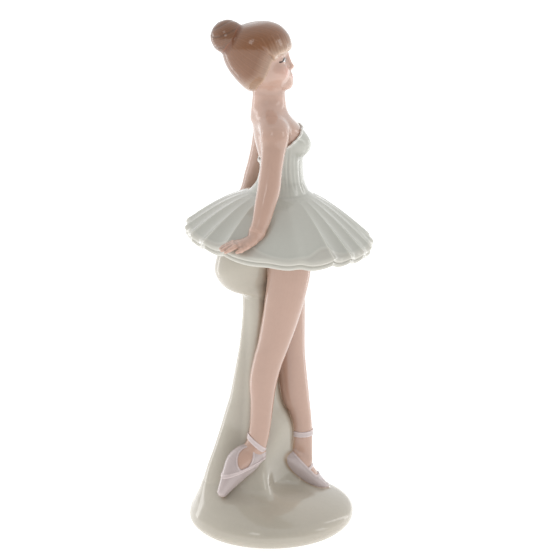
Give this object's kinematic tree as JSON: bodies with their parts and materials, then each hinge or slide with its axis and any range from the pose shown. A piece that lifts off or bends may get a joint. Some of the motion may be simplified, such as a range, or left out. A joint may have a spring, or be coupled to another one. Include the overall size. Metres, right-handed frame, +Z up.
{
  "type": "porcelain ballerina figurine",
  "caption": "Glossy porcelain ballerina standing on her toes on a rounded pebble mound, hands on a short pleated tutu, with a draped column behind her legs.",
  "frame": {"origin": "centre of the bounding box's underside, on the flat face the figurine stands on", "axes": "+Z up along the figure, +X the way the dancer faces, +Y to the dancer's left"},
  "size_m": [0.071, 0.0688, 0.1999],
  "materials": {
    "stone_glaze": "high gloss clear glaze over cream body",
    "skin_glaze": "high gloss glaze over painted flesh tint",
    "satin_glaze": "high gloss glaze over pale lilac",
    "gown_glaze": "high gloss glaze over pale grey-green white",
    "hair_glaze": "high gloss glaze over brown"
  },
  "bodies": {
    "root": {"base_mound": "stone_glaze", "support_column": "stone_glaze", "column_capital": "stone_glaze", "right_leg": "skin_glaze", "left_leg": "skin_glaze", "right_slipper": "satin_glaze", "left_slipper": "satin_glaze", "right_ankle_ribbon": "satin_glaze", "left_ankle_ribbon": "satin_glaze", "right_instep_ribbon": "satin_glaze", "left_instep_ribbon": "satin_glaze", "briefs": "gown_glaze", "tutu_skirt": "gown_glaze", "tutu_underskirt": "gown_glaze", "bodice": "gown_glaze", "bodice_trim": "gown_glaze", "upper_torso": "skin_glaze", "neck": "skin_glaze", "right_arm": "skin_glaze", "left_arm": "skin_glaze", "right_hand": "skin_glaze", "left_hand": "skin_glaze", "head": "skin_glaze", "hair_cap": "hair_glaze", "hair_fringe": "hair_glaze", "hair_bun": "hair_glaze"}
  },
  "joints": []
}
